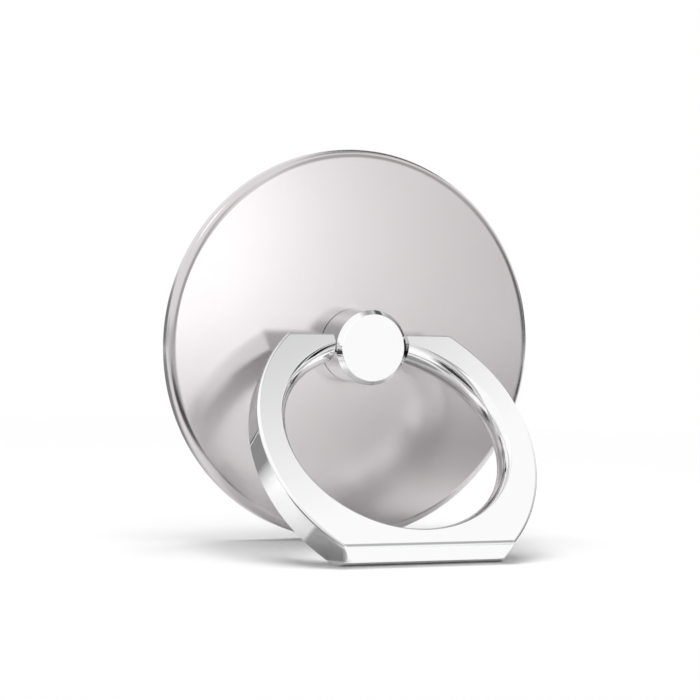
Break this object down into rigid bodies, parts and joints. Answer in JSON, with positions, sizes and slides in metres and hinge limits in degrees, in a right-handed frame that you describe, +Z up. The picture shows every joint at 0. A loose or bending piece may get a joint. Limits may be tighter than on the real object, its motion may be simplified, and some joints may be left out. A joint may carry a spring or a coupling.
{
  "type": "phone ring holder",
  "caption": "Round stick-on phone grip: a satin plate with a mirror-finished swivel hub and a hinged finger ring that folds flat or opens into a kickstand.",
  "frame": {"origin": "on the floor, in the mirror plane, midway between the front of the ring's foot and the back of the adhesive pad", "axes": "+Z up; +X along the hinge pin, to the right as seen from the ring's side; -Y to the front, where the opened ring stands"},
  "size_m": [0.038, 0.0213, 0.038],
  "materials": {
    "satin_plate": "satin-plated zinc alloy",
    "mirror_plating": "polished and chrome-plated",
    "steel": "plain bright steel",
    "washer_plastic": "natural acetal",
    "adhesive_foam": "matte foam adhesive"
  },
  "bodies": {
    "plate": {"base_plate": "satin_plate", "swivel_washer": "washer_plastic", "disc_spring": "steel", "back_cover": "steel", "adhesive_pad": "adhesive_foam"},
    "hub": {"swivel_hub": "mirror_plating", "retaining_washer": "steel"},
    "ring": {"finger_ring": "mirror_plating", "hinge_pin": "steel"}
  },
  "joints": [
    {"name": "hub_swivel", "type": "hinge", "parent": "plate", "child": "hub", "pos_m": [0, 0.008, 0.01899], "axis": [0, -0.9999, -0.0148], "continuous": true},
    {"name": "ring_flip", "type": "hinge", "parent": "hub", "child": "ring", "pos_m": [0, 0.0053, 0.01895], "axis": [1, 0, 0], "range_deg": [-139.73, 40.27]}
  ]
}
